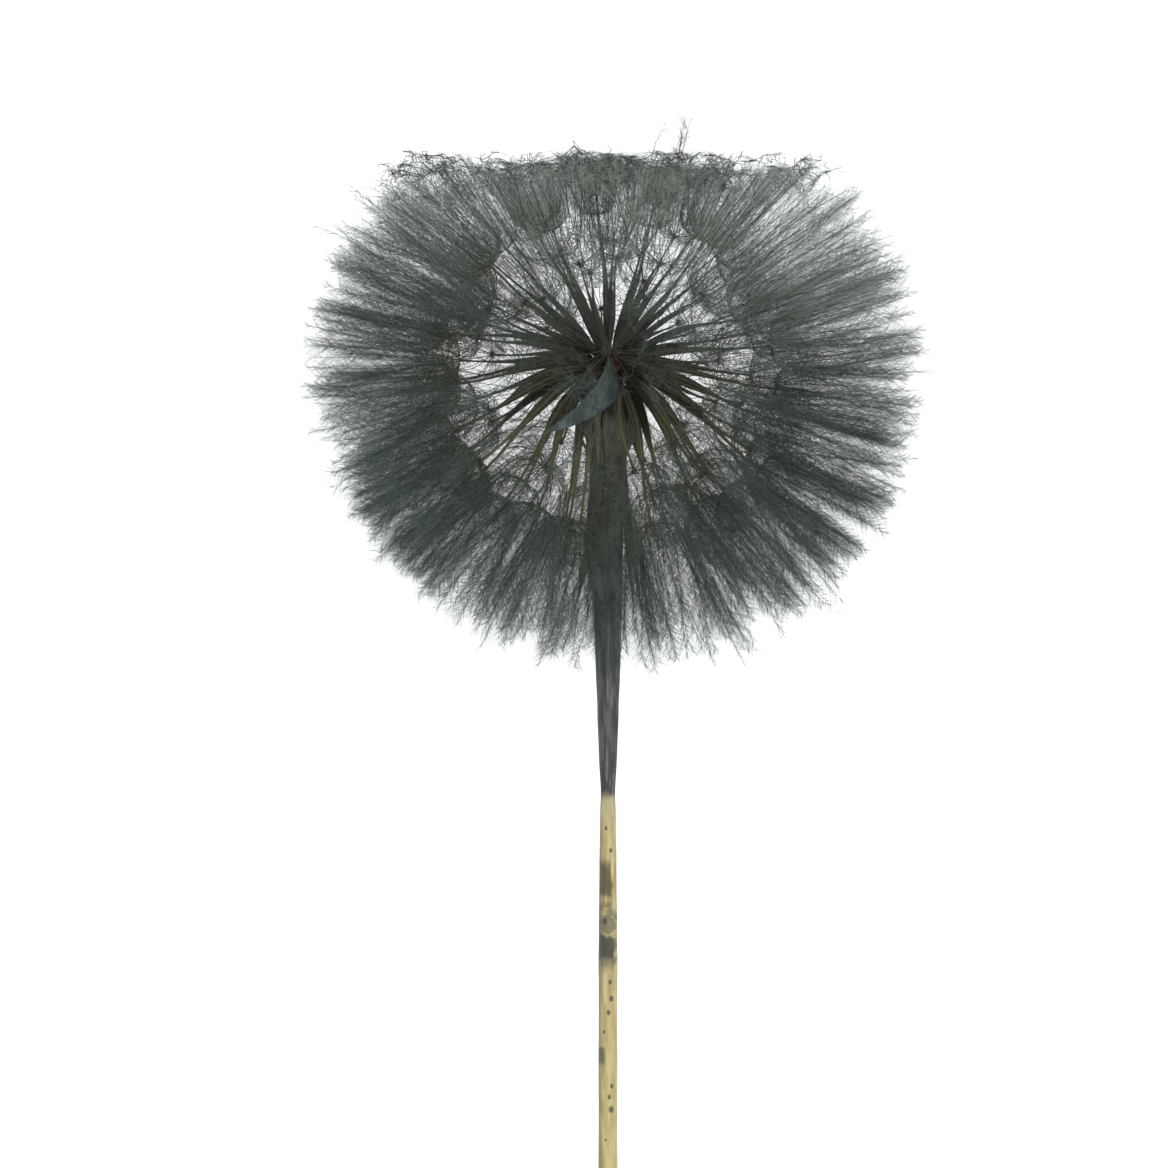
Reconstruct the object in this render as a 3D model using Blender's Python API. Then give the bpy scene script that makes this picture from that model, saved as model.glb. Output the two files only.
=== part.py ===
"""A dandelion clock of the goat's-beard kind, picked and lying on a table.

Lengths are in metres. The plant is modelled upright about the centre of its head, with the crown at +Z, the stem
running down -Z and the side that faces up from the table at -Y. A parent empty then lays it down on the plumes
under its head and on the cut end of its stem, and puts the bottom centre of its box at the origin.
"""

import math

import bmesh
import bpy
from mathutils import Matrix, Vector

MM = 0.001
GAP = 0.3 * MM  # left between pieces that touch

# The head
HEAD_RADIUS = 43.7 * MM  # to the rims of the plumes
CROWN_HEIGHT = 31.4 * MM  # the crown's plumes are pressed flat this far above the centre
FRUITS = 96  # places on the spiral
GOLDEN_ANGLE = math.pi * (3 - math.sqrt(5))
SPIRAL_EDGE = math.radians(163)  # the spiral runs from the crown to this angle from it
SPIRAL_TURN = math.radians(117.5)  # how far the spiral's start is turned about the stem
GAP_PLACES = (64, 69)  # the two fruits that stood here have dropped, and a bract leans across the gap

# A fruit: its seed, drawn out into a beak, and the funnel of hairs that the beak opens into
RECEPTACLE_RADIUS = 3.2 * MM
SEED_FOOT = RECEPTACLE_RADIUS + GAP
BEAK_TIP = 23.4 * MM
SEED_OUTLINE = (  # distance from the head's centre, radius
    (SEED_FOOT, 0.25 * MM),
    (6.0 * MM, 0.42 * MM),
    (9.0 * MM, 0.40 * MM),
    (12.5 * MM, 0.22 * MM),
    (BEAK_TIP, 0.26 * MM),
)
CUP = 27.0 * MM  # the distance at which the funnel has rounded out
CUP_RADIUS = 3.6 * MM
RIM_RADIUS = 6.45 * MM
PLUME_WALL = 0.45 * MM
PLUME_FLOOR = BEAK_TIP + 1.2 * MM
FRUIT_SIDES = 6
TANGLE = 0.42  # the share of a funnel's side that is caught up with its neighbour's
CROWDING = 0.78  # the fruits' feet stand on this share of the angle that their tips spread over

# The stem
STEM_LENGTH = 124 * MM  # from the head's centre to the cut
STEM_TOP = 3.2 * MM
STEM_SIDES = 12
STEM_OUTLINE = (  # distance below the head's centre, radius
    (STEM_TOP, 2.30 * MM),
    (10.0 * MM, 2.10 * MM),
    (18.5 * MM, 2.15 * MM),
    (27.0 * MM, 2.10 * MM),
    (33.0 * MM, 1.97 * MM),
    (41.7 * MM, 1.77 * MM),
    (47.9 * MM, 1.56 * MM),
    (53.0 * MM, 1.40 * MM),
    (57.0 * MM, 1.21 * MM),
    (60.3 * MM, 1.03 * MM),
    (64.7 * MM, 1.12 * MM),
    (68.0 * MM, 1.19 * MM),
    (76.4 * MM, 1.25 * MM),
    (85.1 * MM, 1.32 * MM),
    (STEM_LENGTH, 1.34 * MM),
)
NECK_RADIUS = 2.2 * MM

# The bracts
FOLDED_BRACTS = 7
BRACT_TOP = STEM_TOP + GAP
BRACT_THICKNESS = 0.34 * MM
FOLDED_LENGTH = 31 * MM
FOLDED_WIDTH = 1.9 * MM
SPREAD_REACH = 22.5 * MM  # the spread bract's tip, from the head's centre
SPREAD_WIDTH = 3.3 * MM

# How it lies
HEAD_HEIGHT = 42 * MM  # of the head's centre over the table: the lowest plumes give way a little
END_RADIUS = STEM_OUTLINE[-1][1] * math.cos(math.pi / STEM_SIDES)
SLOPE = math.asin(HEAD_HEIGHT / math.hypot(STEM_LENGTH, END_RADIUS)) - math.atan2(END_RADIUS, STEM_LENGTH)
TABLE_NORMAL = Vector((0, -math.cos(SLOPE), math.sin(SLOPE)))  # the way up, as the upright plant sees it


def material(name, colour, roughness):
    made = bpy.data.materials.new(name)
    made.use_nodes = True
    shader = made.node_tree.nodes["Principled BSDF"]
    shader.inputs["Base Color"].default_value = (*colour, 1)
    shader.inputs["Roughness"].default_value = roughness
    shader.inputs["Metallic"].default_value = 0
    return made


def add_piece(name, data, finish, plant):
    """An object for one sub-part, hung on the plant's empty."""
    piece = bpy.data.objects.new(name, data)
    piece.data.materials.append(finish)
    piece.parent = plant
    bpy.context.collection.objects.link(piece)
    return piece


def mesh_from(bm, name, smooth_angle):
    bmesh.ops.recalc_face_normals(bm, faces=bm.faces)
    mesh = bpy.data.meshes.new(name)
    bm.to_mesh(mesh)
    bm.free()
    mesh.shade_smooth()
    mesh.set_sharp_from_angle(angle=smooth_angle)
    return mesh


def spin_outline(bm, outline, sides):
    """Turns an outline of (radius, height) about Z into a closed skin."""
    made = [bm.verts.new((radius, 0, height)) for radius, height in outline]
    edges = [bm.edges.new(pair) for pair in zip(made, made[1:])]
    bmesh.ops.spin(
        bm, geom=made + edges, axis=(0, 0, 1), cent=(0, 0, 0), steps=sides, angle=math.tau, use_duplicate=False
    )
    bmesh.ops.remove_doubles(bm, verts=bm.verts, dist=0.01 * MM)


def skin_rings(bm, rings):
    """Joins rings of points into one closed skin, capped at both ends, and returns the faces band by band."""
    loops = [[bm.verts.new(point) for point in ring] for ring in rings]
    count = len(loops[0])
    bands = []
    for lower, upper in zip(loops, loops[1:]):
        corners = [(i, (i + 1) % count) for i in range(count)]
        bands.append([bm.faces.new((lower[i], lower[j], upper[j], upper[i])) for i, j in corners])
    bm.faces.new(loops[0])
    bm.faces.new(loops[-1])
    return bands


def direction(lean, turn):
    """The unit vector that leans from the crown by one angle and is turned about the stem by the other."""
    return Vector((math.sin(lean) * math.cos(turn), math.sin(lean) * math.sin(turn), math.cos(lean)))


def fruit_place(number):
    """How far a fruit leans from the crown, and how far round the stem it stands."""
    share = (number + 0.5) / FRUITS
    lean = math.acos(1 - share * (1 - math.cos(SPIRAL_EDGE)))
    return lean, SPIRAL_TURN + number * GOLDEN_ANGLE


def lean_along(lean, distance):
    """A seed's lean at a distance from the head's centre: its foot stands nearer the crown than its tip."""
    gone = (distance - SEED_FOOT) / (BEAK_TIP - SEED_FOOT)
    return lean * (1 - (1 - CROWDING) * (1 - gone) ** 2)


def stem_radius(below):
    """The stem's radius at a distance below the head's centre."""
    for (above, wide), (under, narrow) in zip(STEM_OUTLINE, STEM_OUTLINE[1:]):
        if below <= under:
            return wide + (narrow - wide) * (below - above) / (under - above)
    return STEM_OUTLINE[-1][1]


def make_stem(finish, plant):
    outline = [(radius, -below) for below, radius in STEM_OUTLINE]
    bm = bmesh.new()
    spin_outline(bm, [(0, outline[0][1]), *outline, (0, outline[-1][1])], STEM_SIDES)
    # A flat of the stem, not a corner, is turned to the table.
    half_side = Matrix.Rotation(math.pi / STEM_SIDES, 4, "Z")
    bmesh.ops.transform(bm, matrix=half_side, verts=bm.verts)
    return add_piece("stem", mesh_from(bm, "stem", math.radians(40)), finish, plant)


def make_receptacle(finish, plant):
    """The domed cushion on the stem's top that the fruits stand on."""
    bands = 7
    lowest = math.pi - math.asin(NECK_RADIUS / RECEPTACLE_RADIUS)
    leans = [lowest * i / bands for i in range(bands + 1)]
    outline = [(RECEPTACLE_RADIUS * math.sin(a), RECEPTACLE_RADIUS * math.cos(a)) for a in leans]
    bottom = -STEM_TOP + GAP
    bm = bmesh.new()
    spin_outline(bm, [*outline, (NECK_RADIUS, bottom), (0, bottom)], STEM_SIDES)
    return add_piece("receptacle", mesh_from(bm, "receptacle", math.radians(40)), finish, plant)


def bract_width(share):
    """A bract's width, as a share of its greatest, at a share of its length: a lance's blade."""
    return 0.14 + 0.86 * math.sin(math.pi * (0.22 + 0.78 * share)) ** 0.8 if share < 1 else 0.14


def make_folded_bract(number, finish, plant):
    """A bract that has folded back and lies along the stem."""
    stations = 9
    turn = math.tau * (number + 0.5) / FOLDED_BRACTS
    length = FOLDED_LENGTH * (1 + 0.08 * math.sin(2.6 * number))
    rings = []
    for i in range(stations):
        share = i / (stations - 1)
        below = BRACT_TOP + length * share
        inner = stem_radius(below) + GAP
        outer = inner + BRACT_THICKNESS * (1 - 0.5 * share)
        half = FOLDED_WIDTH * bract_width(share) / 2 / inner
        ring = [(outer, turn - half), (outer, turn), (outer, turn + half)]
        ring += [(inner / math.cos(half / 2), angle) for _, angle in reversed(ring)]
        rings.append([(r * math.cos(a), r * math.sin(a), -below) for r, a in ring])
    bm = bmesh.new()
    skin_rings(bm, rings)
    return add_piece(f"folded_bract_{number + 1}", mesh_from(bm, "bract", math.radians(50)), finish, plant)


def spread_place(share):
    """A point on the spread bract's middle: it leans over from the first gap to the second on its way out."""
    distance = SEED_FOOT + GAP + (SPREAD_REACH - SEED_FOOT - GAP) * share
    start, end = (
        direction(lean_along(lean, distance), turn) for lean, turn in (fruit_place(place) for place in GAP_PLACES)
    )
    return start.slerp(end, share**1.3) * distance


def make_spread_bract(finish, plant):
    """The one bract that still stands out among the fruits, leaning across the gap left by two that dropped."""
    stations = 9
    start, end = (direction(*fruit_place(place)) for place in GAP_PLACES)
    side = start.cross(end).normalized()
    rings = []
    for i in range(stations):
        share = i / (stations - 1)
        middle = spread_place(share)
        along = spread_place(share + 0.01) - middle
        face = side.cross(along).normalized()
        across = side * SPREAD_WIDTH * bract_width(share) * min(1, 0.35 + 2.5 * share) / 2
        depth = face * BRACT_THICKNESS * (1 - 0.5 * share) / 2
        keel = face * 0.35 * MM  # the blade is folded a little along its middle
        rings.append(
            [
                middle - across + depth,
                middle + depth - keel,
                middle + across + depth,
                middle + across - depth,
                middle - depth - keel,
                middle - across - depth,
            ]
        )
    bm = bmesh.new()
    skin_rings(bm, rings)
    return add_piece("spread_bract", mesh_from(bm, "bract", math.radians(50)), finish, plant)


def slide_to_plane(point, root, normal, level):
    """Brings a rim's point back along its rib to a plane that it would pass."""
    over = level - point.dot(normal)
    if over >= 0:
        return point
    return point + (root - point) * over / ((root - point).dot(normal))


def ring_about(middle, along, toward, radius):
    """A ring of points square to a direction, with a flat and not a corner turned toward the second one."""
    across = (toward - along * toward.dot(along)).normalized()
    side = along.cross(across)
    angles = [math.tau * (i + 0.5) / FRUIT_SIDES for i in range(FRUIT_SIDES)]
    return [middle + (across * math.cos(a) + side * math.sin(a)) * radius for a in angles]


def grow_fruit(bm, number, toward):
    """Adds one fruit as a single skin, and returns the side of its funnel that faces the way given."""
    lean, turn = fruit_place(number)
    spine = [direction(lean_along(lean, distance), turn) * distance for distance, _ in SEED_OUTLINE]
    up = direction(lean, turn)
    rings = []
    for i, (middle, (_, radius)) in enumerate(zip(spine, SEED_OUTLINE)):
        along = spine[min(i + 1, len(spine) - 1)] - spine[max(i - 1, 0)]
        rings.append(ring_about(middle, along.normalized(), toward, radius))
    cup = ring_about(up * CUP, up, toward, CUP_RADIUS)
    inner_cup = ring_about(up * CUP, up, toward, CUP_RADIUS - PLUME_WALL)
    rims = []
    for root_ring, radius in ((cup, RIM_RADIUS), (inner_cup, RIM_RADIUS - PLUME_WALL)):
        rim = []
        for root, point in zip(root_ring, ring_about(up * HEAD_RADIUS, up, toward, radius)):
            point = slide_to_plane(point, root, Vector((0, 0, 1)), CROWN_HEIGHT)
            rim.append(slide_to_plane(point, root, -TABLE_NORMAL, HEAD_HEIGHT))
        rims.append(rim)
    floor = ring_about(up * PLUME_FLOOR, up, toward, 0.12 * MM)
    faces = skin_rings(bm, [*rings, cup, rims[0], rims[1], inner_cup, floor])
    return faces[len(rings)][-1]


def make_fruit_pair(name, numbers, finish, plant):
    """Two fruits that stand side by side, with the hairs of their plumes tangled where they meet."""
    places = [direction(*fruit_place(number)) for number in numbers]
    bm = bmesh.new()
    sides = [grow_fruit(bm, number, toward) for number, toward in zip(numbers, places[::-1])]
    bmesh.ops.inset_individual(bm, faces=sides, thickness=0)
    for side in sides:
        middle = side.calc_center_median()
        for vertex in side.verts:
            vertex.co = middle.lerp(vertex.co, TANGLE)
    edges = [edge for side in sides for edge in side.edges]
    bmesh.ops.delete(bm, geom=sides, context="FACES_ONLY")
    bmesh.ops.bridge_loops(bm, edges=edges)
    return add_piece(name, mesh_from(bm, name, math.radians(30)), finish, plant)


def pair_up():
    """The fruits in pairs of neighbours, from the stem's end of the spiral up."""
    places = {number: direction(*fruit_place(number)) for number in range(FRUITS) if number not in GAP_PLACES}
    left = list(places)
    pairs = []
    while left:
        last = left.pop()
        nearest = max(left, key=lambda number: places[number].dot(places[last]))
        left.remove(nearest)
        pairs.append((nearest, last))
    return pairs


def rest_on_origin(plant):
    """Puts the bottom centre of the whole plant's box at the origin."""
    bpy.context.view_layer.update()
    graph = bpy.context.evaluated_depsgraph_get()
    corners = []
    for piece in plant.children:
        mesh = piece.evaluated_get(graph).to_mesh()
        corners += [piece.matrix_world @ vertex.co for vertex in mesh.vertices]
    low = Vector(min(corner[i] for corner in corners) for i in range(3))
    high = Vector(max(corner[i] for corner in corners) for i in range(3))
    plant.location -= Vector(((low.x + high.x) / 2, (low.y + high.y) / 2, low.z))


def main():
    for old in list(bpy.data.objects):
        bpy.data.objects.remove(old)
    plant = bpy.data.objects.new("plant", None)
    bpy.context.collection.objects.link(plant)
    plant.rotation_euler = (SLOPE - math.pi / 2, 0, 0)

    straw = material("straw", (0.47, 0.40, 0.20), 0.75)
    grey_leaf = material("grey_leaf", (0.06, 0.065, 0.06), 0.7)
    brown = material("brown", (0.09, 0.05, 0.03), 0.8)
    fruit = material("fruit", (0.11, 0.12, 0.115), 0.65)

    make_stem(straw, plant)
    make_receptacle(brown, plant)
    for number in range(FOLDED_BRACTS):
        make_folded_bract(number, grey_leaf, plant)
    make_spread_bract(grey_leaf, plant)
    for count, pair in enumerate(pair_up()):
        make_fruit_pair(f"fruit_pair_{count + 1:02d}", pair, fruit, plant)
    rest_on_origin(plant)


main()
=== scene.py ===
import math
from typing import NamedTuple

import bmesh
import bpy
import numpy as np
from mathutils import Matrix, Vector


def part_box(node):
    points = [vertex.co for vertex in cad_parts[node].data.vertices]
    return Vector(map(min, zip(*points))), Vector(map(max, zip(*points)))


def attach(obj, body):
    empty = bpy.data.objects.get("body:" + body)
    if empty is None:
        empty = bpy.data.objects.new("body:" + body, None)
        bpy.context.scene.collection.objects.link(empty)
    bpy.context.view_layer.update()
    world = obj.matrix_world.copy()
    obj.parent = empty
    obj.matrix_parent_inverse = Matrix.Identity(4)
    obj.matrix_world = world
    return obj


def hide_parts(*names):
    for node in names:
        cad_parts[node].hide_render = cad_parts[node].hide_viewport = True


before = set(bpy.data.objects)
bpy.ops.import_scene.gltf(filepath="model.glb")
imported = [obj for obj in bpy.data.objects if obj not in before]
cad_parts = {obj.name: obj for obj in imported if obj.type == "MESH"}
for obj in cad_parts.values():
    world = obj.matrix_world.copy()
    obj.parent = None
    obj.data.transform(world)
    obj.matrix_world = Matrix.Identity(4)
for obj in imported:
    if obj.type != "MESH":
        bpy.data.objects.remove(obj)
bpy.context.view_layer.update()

MM = 0.001
chance = np.random.default_rng(11)

# The plant stands upright while it is modelled: the head's centre is at the origin, the crown at +Z, the stem
# runs down -Z, and the side that ends up on top is at -Y.
CROWN_HEIGHT = 31.4 * MM
FRUITS = 96
GOLDEN_ANGLE = math.pi * (3 - math.sqrt(5))
SPIRAL_EDGE = math.radians(163)  # how far the last place leans from the crown
SPIRAL_TURN = math.radians(117.5)
GAP_PLACES = (64, 69)  # the two empty places that the spread bract leans from and to
SPREAD_REACH = 22.5 * MM
SEED_FOOT = 3.5 * MM
BEAK_TIP = 23.4 * MM
beak_tips = BEAK_TIP + np.clip(chance.normal(-0.2, 2.0, FRUITS), -3.8, 2.8) * MM
CROWDING = 0.78  # how far a seed's foot leans, as a share of its tip's lean
RECEPTACLE_RADIUS = 3.2 * MM

STEM_LENGTH = 124 * MM
STEM_TOP = 3.2 * MM
STEM_OUTLINE = (  # millimetres below the head's centre, radius in millimetres
    (3.2, 2.30), (10, 2.10), (18.5, 2.15), (27, 2.10), (33, 1.97), (41.7, 1.77), (47.9, 1.56), (53, 1.40),
    (57, 1.21), (60.3, 1.03), (64.7, 1.12), (68, 1.19), (76.4, 1.25), (85.1, 1.32), (124, 1.34),
)
STEM_SPOTS = (  # millimetres below the head's centre, to the right, and across
    (66.0, -0.3, 0.30), (69.2, 0.4, 0.35), (79.4, -0.5, 0.42), (88.2, 0.3, 0.28), (90.6, 0.5, 0.40),
    (92.6, 0.1, 0.36), (95.4, -0.6, 0.25), (103.2, 0.5, 0.30), (104.8, 0.2, 0.34), (106.6, 0.45, 0.52),
    (111.0, -0.4, 0.22), (117.0, 0.3, 0.30),
)
CUT_FLAT = 1.34 * MM * math.cos(math.pi / 12)
HEAD_HEIGHT = 42 * MM
SLOPE = math.asin(HEAD_HEIGHT / math.hypot(STEM_LENGTH, CUT_FLAT)) - math.atan2(CUT_FLAT, STEM_LENGTH)
TABLE_NORMAL = np.array([0, -math.cos(SLOPE), math.sin(SLOPE)])

stem_low, stem_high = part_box("stem")
HEAD = Vector((
    (stem_low.x + stem_high.x) / 2,
    stem_low.y + CUT_FLAT * math.sin(SLOPE) + STEM_LENGTH * math.cos(SLOPE),
    HEAD_HEIGHT,
))
LAY_DOWN = Matrix.Translation(HEAD) @ Matrix.Rotation(SLOPE - math.pi / 2, 4, "X")

# The plumes
RIBS = 23
RIB_STATIONS = np.array([0, 1.0, 2.0, 3.1, 4.3, 5.7, 7.8, 10.6, 13.6, 16.6, 19.8, 23.0]) * MM
CUP_TURN = 6.8 * MM  # the length over which a rib turns from sideways to upward
RIB_WIDTH = 0.062 * MM
CLUMPS = 420  # places round the whole head that the ribs' ends gather toward
STRONG_CLUMPS = 0.17  # the share of them that pull hard
GATHER_WITHIN = 7 * MM  # the greater this is, the less the clumps pull
RIB_AIM = (43, 7.2)  # millimetres outward and aside from the head's centre: about where a rib ends
RIB_SPREAD = (13.5, 8)  # degrees off the fruit's axis above the cup: the middle, and how much it varies
WIDEST_SPREAD = 32  # degrees
STEEPEST = (78, 92)  # degrees off the fruit's axis at the beak's tip
LONG_RIBS = 0.05  # the share of the ribs that stick out past the rest
RIB_ROOM = 22 * MM  # the room that a rib of full size takes up under the crown
MATTED_DEPTH = 4 * MM  # how far down from the pressed crown hair is matted
MATTED_HAIR = 0.7  # the share of the outermost hairs still there in that depth
OUTERMOST = 0.9  # the share of a rib's hairs that stand further in than those
TUFT = np.array([0.30, -0.20, 0.93])  # the way that the one clump points that the crown's press has missed
TUFT_PULL = 1.5
TUFT_SIZE = 0.78  # its ribs' length, as a share of the usual one
FULLNESS = ((0, 30, 55, 75, 180), (0.26, 0.30, 0.66, 1, 1))  # degrees from the crown, share of the hair left
WORN = 0.72  # the share of the plumes on the upper and the under side that have also lost most of their web
FEWER_WORN = ((75, 110), (1, 0.6))  # degrees from the crown, what that share is multiplied by
THINNER = 0.5  # the share of its hairs that a plume on the upper or the under side has lost
SHORT_SIDE = np.array([-0.5, 0, -0.86])


class HairSort(NamedTuple):
    """One sort of hair on the ribs."""

    per_rib: int
    radius: float  # millimetres
    length: float  # millimetres
    parts: tuple  # shares of the length between its points
    curl: float  # how far each part swerves; over 1 the hair wanders freely
    tones: tuple  # darkest and palest
    stands: tuple  # share of the rib, crowding, degrees off the rib, share of the length


BARBS = HairSort(14, 0.021, 4.6, (0.5, 0.5), 0.2, (0.2, 1), (
    (0.05, 0.2, 70, 0.5), (0.25, 0.7, 44, 0.9), (0.5, 1.0, 34, 1.1), (0.8, 1.3, 36, 1.0), (1.0, 1.2, 40, 0.6),
))
WEB = HairSort(54, 0.041, 2.1, (1.0,), 0.2, (0.6, 1), (  # between the ribs of the cup
    (0.02, 0.3, 88, 0.2), (0.11, 0.85, 86, 0.5), (0.21, 1.0, 82, 0.9), (0.31, 0.9, 70, 1.1),
    (0.42, 0.0, 55, 1.3),
))
DOWN = HairSort(142, 0.0185, 3.2, (1.0,), 0.2, (0.45, 1), (
    (0.20, 0.0, 62, 0.8), (0.34, 0.6, 54, 1.0), (0.55, 1.1, 46, 1.05), (0.80, 1.7, 48, 1.0),
    (1.0, 1.7, 52, 0.6),
))
MATS = HairSort(14, 0.050, 2.4, (0.3, 0.25, 0.25, 0.2), 1.5, (0, 0.4), (  # the dark curls at the crown
    (0.70, 0.4, 60, 0.8), (0.85, 1.0, 80, 1.0), (1.0, 1.4, 90, 1.0),
))
MATS_SHARE = 0.9  # the share of the curls still there where the crown is matted
CURLS_INSIDE = 1.1 * MM  # how much further inside the pressed crown the curls stay than other hair


# Finishes

class Value:
    """A node's output, so that sums on it are written as Python expressions."""

    def __init__(self, finish, link):
        self.finish, self.link = finish, link

    def __add__(self, other):
        return self.finish.math("ADD", self, other)

    def __sub__(self, other):
        return self.finish.math("SUBTRACT", self, other)

    def __rsub__(self, other):
        return self.finish.math("SUBTRACT", other, self)

    def __mul__(self, other):
        return self.finish.math("MULTIPLY", self, other)

    def __truediv__(self, other):
        return self.finish.math("DIVIDE", self, other)

    __radd__ = __add__
    __rmul__ = __mul__


class Finish:
    """A material in the making."""

    def __init__(self, name, roughness, specular=0.3):
        self.material = bpy.data.materials.new(name)
        self.material.use_nodes = True
        self.tree = self.material.node_tree
        self.shader = self.tree.nodes["Principled BSDF"]
        self.shader.inputs["Roughness"].default_value = roughness
        self.shader.inputs["Specular IOR Level"].default_value = specular

    def add(self, kind, settings=None, values=None, output=0):
        """One node: its settings first, then the values or links of its sockets."""
        made = self.tree.nodes.new("ShaderNode" + kind)
        for key, setting in (settings or {}).items():
            if key == "stops":
                ramp = made.color_ramp
                while len(ramp.elements) < len(setting):
                    ramp.elements.new(0.5)
                for element, (place, colour) in zip(ramp.elements, setting):
                    element.position = place
                    element.color = (*colour, 1)
            else:
                setattr(made, key, setting)
        for key, value in (values or {}).items():
            self.feed(made.inputs[key], value)
        return Value(self, made.outputs[output])

    def feed(self, socket, value):
        if isinstance(value, Value):
            self.tree.links.new(value.link, socket)
        elif socket.type == "RGBA" and len(value) == 3:
            socket.default_value = (*value, 1)
        else:
            socket.default_value = value

    def math(self, operation, first, second):
        return self.add("Math", {"operation": operation}, {0: first, 1: second})

    def mix(self, mask, first, second):
        return self.add("Mix", {"data_type": "RGBA"}, {0: mask, 6: first, 7: second}, output=2)

    def ease(self, value, low, high):
        """0 below the low value, 1 above the high one, smooth between; turned round if low is the higher."""
        kind = {"interpolation_type": "SMOOTHSTEP"}
        if low < high:
            return self.add("MapRange", kind, {0: value, 1: low, 2: high, 3: 0.0, 4: 1.0})
        return self.add("MapRange", kind, {0: value, 1: high, 2: low, 3: 1.0, 4: 0.0})

    def window(self, value, start, full, end, gone):
        """1 between full and end, easing to 0 at start and at gone."""
        return self.ease(value, start, full) * self.ease(value, gone, end)

    def noise(self, place, scale, detail=2.0, roughness=0.5, stretch=(1, 1, 1)):
        if stretch != (1, 1, 1):
            place = self.add("Mapping", {}, {"Vector": place, "Scale": stretch})
        values = {"Vector": place, "Scale": scale, "Detail": detail, "Roughness": roughness}
        return self.add("TexNoise", {}, values)

    def upright_place(self):
        """The surface's place as the upright plant has it, in metres from the head's centre."""
        place = self.add("TexCoord", output=3)
        values = {"Vector": place, "Location": HEAD, "Rotation": (SLOPE - math.pi / 2, 0, 0)}
        return self.add("Mapping", {"vector_type": "TEXTURE"}, values)

    def parts_of(self, place):
        split = self.tree.nodes.new("ShaderNodeSeparateXYZ")
        self.tree.links.new(place.link, split.inputs[0])
        return [Value(self, out) for out in split.outputs]

    def colour(self, value):
        self.feed(self.shader.inputs["Base Color"], value)

    def rough(self, value):
        self.feed(self.shader.inputs["Roughness"], value)

    def bump(self, height, distance, strength=1.0):
        values = {"Height": height, "Distance": distance, "Strength": strength}
        bumped = self.add("Bump", {}, values)
        self.feed(self.shader.inputs["Normal"], bumped)


def finish_plume():
    """Fine hair: olive grey in the cups, slate grey outward, darker on the ribs, with painted shade low on
    the right and painted light toward the upper right shoulder; nearly black in the mats at the crown."""
    hair = Finish("slate_grey_hair", 0.62, 0.2)
    place = hair.upright_place()
    x, _, z = hair.parts_of(place)
    tone = hair.add("Attribute", {"attribute_name": "tone"}, output=2)
    length = hair.add("Attribute", {"attribute_name": "along"}, output=2)
    cloud = hair.ease(hair.noise(place, 70, 3), 0.38, 0.66)
    tint = hair.ease(hair.noise(place, 45, 2), 0.42, 0.62)
    mottle = hair.ease(hair.noise(place, 1300, 2), 0.35, 0.7)
    outer = hair.mix(cloud, (0.078, 0.112, 0.102), (0.125, 0.170, 0.155))
    outer = hair.mix(tint * 0.55, outer, (0.108, 0.120, 0.090))
    inner = hair.mix(tint, (0.122, 0.126, 0.074), (0.108, 0.128, 0.100))
    haze = hair.mix(hair.ease(length + tint * 0.2, 0.2, 0.55), inner, outer)
    # painted light: the hair lightened toward the top and a little to the right, the upper right shoulder
    painted_light = hair.ease(z + x * 0.25, 0.000, 0.030)
    haze = hair.mix(painted_light * (0.6 + cloud * 0.4), haze, (0.50, 0.56, 0.50))
    # painted shade: the hair darkened toward the right and downward, low on the right
    shaded = hair.ease(x - z * 0.8, 0.020, 0.040)
    haze = hair.mix(shaded * 0.6, haze, (0.046, 0.068, 0.062))
    strand = hair.mix(hair.ease(tone, 0.2, 0.85), (0.036, 0.042, 0.032), haze)
    at_crown = hair.ease(z, CROWN_HEIGHT - MATTED_DEPTH, CROWN_HEIGHT - 1.5 * MM)
    curls = at_crown * hair.ease(cloud - tone, -0.6, 0.1)
    strand = hair.mix(curls * 0.95, strand, (0.010, 0.012, 0.009))
    hair.colour(hair.mix(mottle * 0.25 * (1 - curls * 0.9), strand, (0.150, 0.172, 0.152)))
    hair.rough(0.5 + mottle * 0.25)
    return hair.material


def finish_seed():
    """Dark olive with lighter ridges, straw on the lower beaks as a painted highlight, greyer on upper seeds,
    brown at the foot.
    """
    coat = Finish("seed_coat", 0.65, 0.12)
    place = coat.upright_place()
    ridge = coat.add("Attribute", {"attribute_name": "ridge"}, output=2)
    tone = coat.add("Attribute", {"attribute_name": "tone"}, output=2)
    length = coat.add("Attribute", {"attribute_name": "along"}, output=2)
    speck = coat.ease(coat.noise(place, 1500, 3), 0.42, 0.62)
    body = coat.mix(tone, (0.012, 0.013, 0.010), (0.036, 0.036, 0.024))
    body = coat.mix(speck * 0.5, body, (0.020, 0.016, 0.011))
    lit = coat.mix(ridge * (0.1 + tone * 0.6), body, (0.155, 0.148, 0.085))
    beak = coat.mix(coat.ease(length, 0.5, 0.8), lit, (0.060, 0.060, 0.044))
    _, _, z = coat.parts_of(place)
    # painted highlight: straw colour on the beak bases of the lower seeds
    straw = coat.ease(z, -0.004, -0.016) * coat.ease(length, 0.3, 0.6)
    beak = coat.mix(straw * 0.8, beak, (0.150, 0.140, 0.066))
    beak = coat.mix(coat.ease(z, -0.002, 0.008) * 0.6, beak, (0.078, 0.090, 0.078))
    coat.colour(coat.mix(coat.ease(length, 0.10, 0.0), beak, (0.080, 0.032, 0.018)))
    coat.rough(0.45 + speck * 0.3)
    coat.bump(speck + ridge, 0.02 * MM)
    return coat.material


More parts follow.
